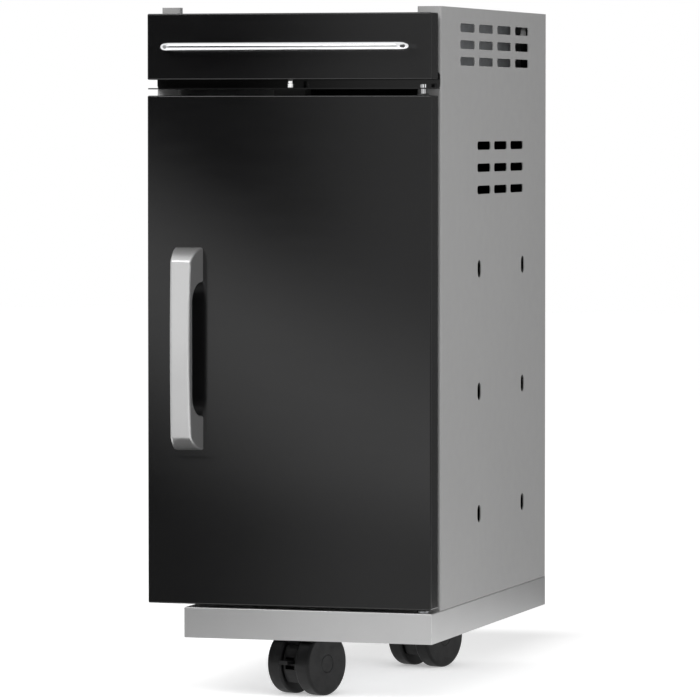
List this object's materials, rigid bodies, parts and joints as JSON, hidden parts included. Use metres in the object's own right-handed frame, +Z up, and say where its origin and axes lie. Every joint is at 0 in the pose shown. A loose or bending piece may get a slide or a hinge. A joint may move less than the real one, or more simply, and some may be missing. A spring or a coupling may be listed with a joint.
{
  "type": "grill side cabinet",
  "caption": "Narrow sheet-metal cabinet for a grill: drawer over a hinged door in gloss black, vented grey sides, base tray on twin-wheel swivel casters, open top.",
  "frame": {"origin": "on the floor, at the middle of the footprint of the whole object", "axes": "+Z up, front towards -Y, hinge side of the door towards +X"},
  "size_m": [0.36, 0.5787, 0.84],
  "materials": {
    "grey_paint": "satin grey powder coat on sheet steel",
    "black_gloss": "smooth gloss black enamel",
    "chrome": "bright chrome plate",
    "silver_satin": "satin silver coat with fine metal flake",
    "caster_black": "moulded black nylon, satin",
    "catch_black": "moulded black plastic",
    "bumper_rubber": "soft matte rubber",
    "nylon_white": "moulded white nylon",
    "zinc_steel": "zinc-plated steel"
  },
  "bodies": {
    "carcass": {"base_tray": "silver_satin", "floor_panel": "grey_paint", "floor_bolts": "zinc_steel", "floor_nuts": "zinc_steel", "left_side_panel": "grey_paint", "right_side_panel": "grey_paint", "back_panel": "black_gloss", "back_panel_screws": "zinc_steel", "top_rear_rail": "grey_paint", "front_rail": "black_gloss", "drawer_rest": "nylon_white", "rail_screws": "zinc_steel", "catch_screw": "chrome", "magnet_catch": "catch_black", "door_bumpers": "bumper_rubber", "door_pin_top": "chrome", "door_pin_bottom": "zinc_steel", "slide_bracket_left": "zinc_steel", "slide_bracket_right": "zinc_steel", "slide_outer_left": "zinc_steel", "slide_outer_right": "zinc_steel", "caster_channel": "zinc_steel", "caster_bolts": "zinc_steel", "caster_nuts": "zinc_steel", "caster_front_plate": "zinc_steel", "caster_rear_plate": "zinc_steel"},
    "door": {"door_skin": "black_gloss", "door_liner": "black_gloss", "door_handle": "silver_satin", "door_handle_screws": "zinc_steel", "door_bushes": "catch_black", "strike_plate": "zinc_steel"},
    "drawer": {"drawer_front": "black_gloss", "drawer_liner": "black_gloss", "drawer_box": "zinc_steel", "drawer_front_screws": "zinc_steel", "drawer_handle": "chrome", "drawer_handle_screws": "zinc_steel", "slide_inner_left": "zinc_steel", "slide_inner_right": "zinc_steel"},
    "slide_middle_left": {"slide_middle_left": "zinc_steel"},
    "slide_middle_right": {"slide_middle_right": "zinc_steel"},
    "caster_front": {"caster_front_hood": "caster_black", "caster_front_axle": "zinc_steel", "caster_front_brake_pin": "zinc_steel"},
    "caster_front_wheel_left": {"caster_front_wheel_left": "caster_black"},
    "caster_front_wheel_right": {"caster_front_wheel_right": "caster_black"},
    "caster_rear": {"caster_rear_hood": "caster_black", "caster_rear_axle": "zinc_steel"},
    "caster_rear_wheel_left": {"caster_rear_wheel_left": "caster_black"},
    "caster_rear_wheel_right": {"caster_rear_wheel_right": "caster_black"},
    "brake_lever": {"caster_front_brake_lever": "caster_black"}
  },
  "joints": [
    {"name": "door_hinge", "type": "hinge", "parent": "carcass", "child": "door", "pos_m": [0.165, -0.23905, 0.42], "axis": [0, 0, 1], "range_deg": [0, 110]},
    {"name": "drawer_slide", "type": "slide", "parent": "carcass", "child": "drawer", "axis": [0, -1, 0], "range_m": [0, 0.35]},
    {"name": "slide_middle_left", "type": "slide", "parent": "carcass", "child": "slide_middle_left", "axis": [0, -1, 0], "range_m": [0, 0.175]},
    {"name": "slide_middle_right", "type": "slide", "parent": "carcass", "child": "slide_middle_right", "axis": [0, -1, 0], "range_m": [0, 0.175]},
    {"name": "caster_front_swivel", "type": "hinge", "parent": "carcass", "child": "caster_front", "pos_m": [0.004, -0.13205, 0.09], "axis": [0, 0, 1], "continuous": true},
    {"name": "caster_front_spin_left", "type": "hinge", "parent": "caster_front", "child": "caster_front_wheel_left", "pos_m": [-0.00603, -0.15819, 0.039], "axis": [0.9336, -0.3584, 0], "continuous": true},
    {"name": "caster_front_spin_right", "type": "hinge", "parent": "caster_front", "child": "caster_front_wheel_right", "pos_m": [-0.00603, -0.15819, 0.039], "axis": [0.9336, -0.3584, 0], "continuous": true},
    {"name": "caster_rear_swivel", "type": "hinge", "parent": "carcass", "child": "caster_rear", "pos_m": [0.033, 0.17295, 0.09], "axis": [0, 0, 1], "continuous": true},
    {"name": "caster_rear_spin_left", "type": "hinge", "parent": "caster_rear", "child": "caster_rear_wheel_left", "pos_m": [0.04303, 0.19909, 0.039], "axis": [-0.9336, 0.3584, 0], "continuous": true},
    {"name": "caster_rear_spin_right", "type": "hinge", "parent": "caster_rear", "child": "caster_rear_wheel_right", "pos_m": [0.04303, 0.19909, 0.039], "axis": [-0.9336, 0.3584, 0], "continuous": true},
    {"name": "brake_pedal", "type": "hinge", "parent": "caster_front", "child": "brake_lever", "pos_m": [-0.01571, -0.1834, 0.04], "axis": [0.9336, -0.3584, 0], "range_deg": [0, 20], "stiffness_Nm_per_rad": 0.6}
  ],
  "couplings": [
    {"joint": "slide_middle_left", "follows": "drawer_slide", "ratio": 0.5},
    {"joint": "slide_middle_right", "follows": "drawer_slide", "ratio": 0.5}
  ]
}
